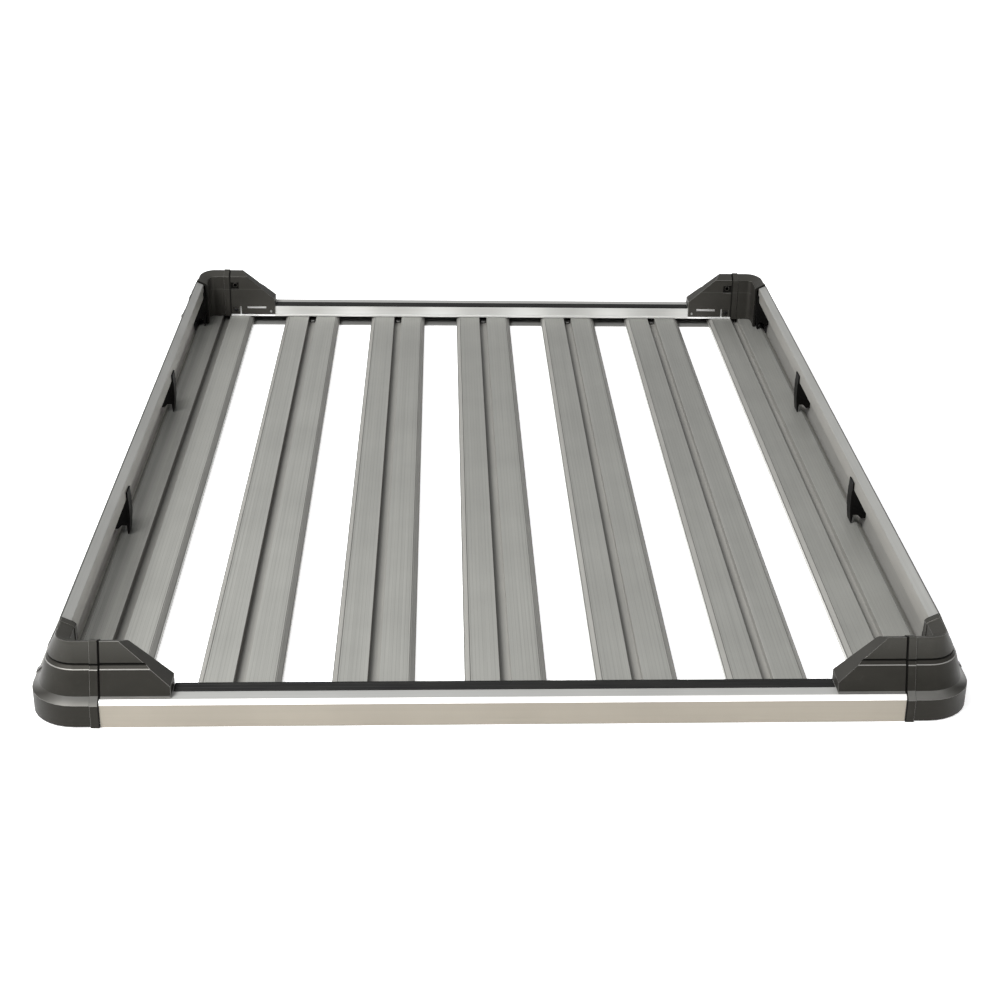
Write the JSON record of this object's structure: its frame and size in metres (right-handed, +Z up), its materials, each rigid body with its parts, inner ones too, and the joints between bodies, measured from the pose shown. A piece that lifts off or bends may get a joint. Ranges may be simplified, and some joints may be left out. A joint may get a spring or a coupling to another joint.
{
  "type": "roof cargo basket",
  "caption": "Low rectangular aluminium roof tray of slotted planks between end rails, with two-tier side rails, black moulded corners and side posts.",
  "frame": {"origin": "centre of the tray in plan, on the plane its rails stand on", "axes": "+Y to the rear, along the planks; +X across the tray, to the right seen from the front; +Z up"},
  "size_m": [1.0478, 1.3924, 0.0935],
  "materials": {
    "planks": "satin silver anodised, fine lengthwise extrusion lines",
    "end_rails": "satin silver anodised",
    "side_rails": "satin silver anodised",
    "rubber_strips": "matt black rubber",
    "corner_covers": "fine textured charcoal moulding",
    "corner_brackets": "as-cast",
    "side_posts": "satin black moulding",
    "bolts": "stainless",
    "rivets": "plain",
    "screws": "black zinc"
  },
  "bodies": {
    "root": {"plank_1": "planks", "plank_2": "planks", "plank_3": "planks", "plank_4": "planks", "plank_5": "planks", "plank_6": "planks", "plank_7": "planks", "front_rail": "end_rails", "rear_rail": "end_rails", "left_lower_rail": "side_rails", "right_lower_rail": "side_rails", "left_upper_rail": "side_rails", "right_upper_rail": "side_rails", "rubber_strip_front": "rubber_strips", "rubber_strip_rear": "rubber_strips", "corner_cover_front_left": "corner_covers", "corner_cover_front_right": "corner_covers", "corner_cover_rear_left": "corner_covers", "corner_cover_rear_right": "corner_covers", "corner_wing_front_left": "corner_covers", "corner_wing_front_right": "corner_covers", "corner_wing_rear_left": "corner_covers", "corner_wing_rear_right": "corner_covers", "corner_bracket_front_left": "corner_brackets", "corner_bracket_front_right": "corner_brackets", "corner_bracket_rear_left": "corner_brackets", "corner_bracket_rear_right": "corner_brackets", "rail_joiner_front_left": "corner_brackets", "rail_joiner_front_right": "corner_brackets", "rail_joiner_rear_left": "corner_brackets", "rail_joiner_rear_right": "corner_brackets", "side_post_left_1": "side_posts", "side_post_left_2": "side_posts", "side_post_left_3": "side_posts", "side_post_left_4": "side_posts", "side_post_right_1": "side_posts", "side_post_right_2": "side_posts", "side_post_right_3": "side_posts", "side_post_right_4": "side_posts", "plank_bolt_front_2": "bolts", "plank_bolt_front_3": "bolts", "plank_bolt_front_4": "bolts", "plank_bolt_front_5": "bolts", "plank_bolt_front_6": "bolts", "plank_bolt_rear_2": "bolts", "plank_bolt_rear_3": "bolts", "plank_bolt_rear_4": "bolts", "plank_bolt_rear_5": "bolts", "plank_bolt_rear_6": "bolts", "wing_rivet_front_left": "rivets", "wing_rivet_front_right": "rivets", "wing_rivet_rear_left": "rivets", "wing_rivet_rear_right": "rivets", "wing_screw_front_left": "screws", "wing_screw_front_right": "screws", "wing_screw_rear_left": "screws", "wing_screw_rear_right": "screws"}
  },
  "joints": []
}
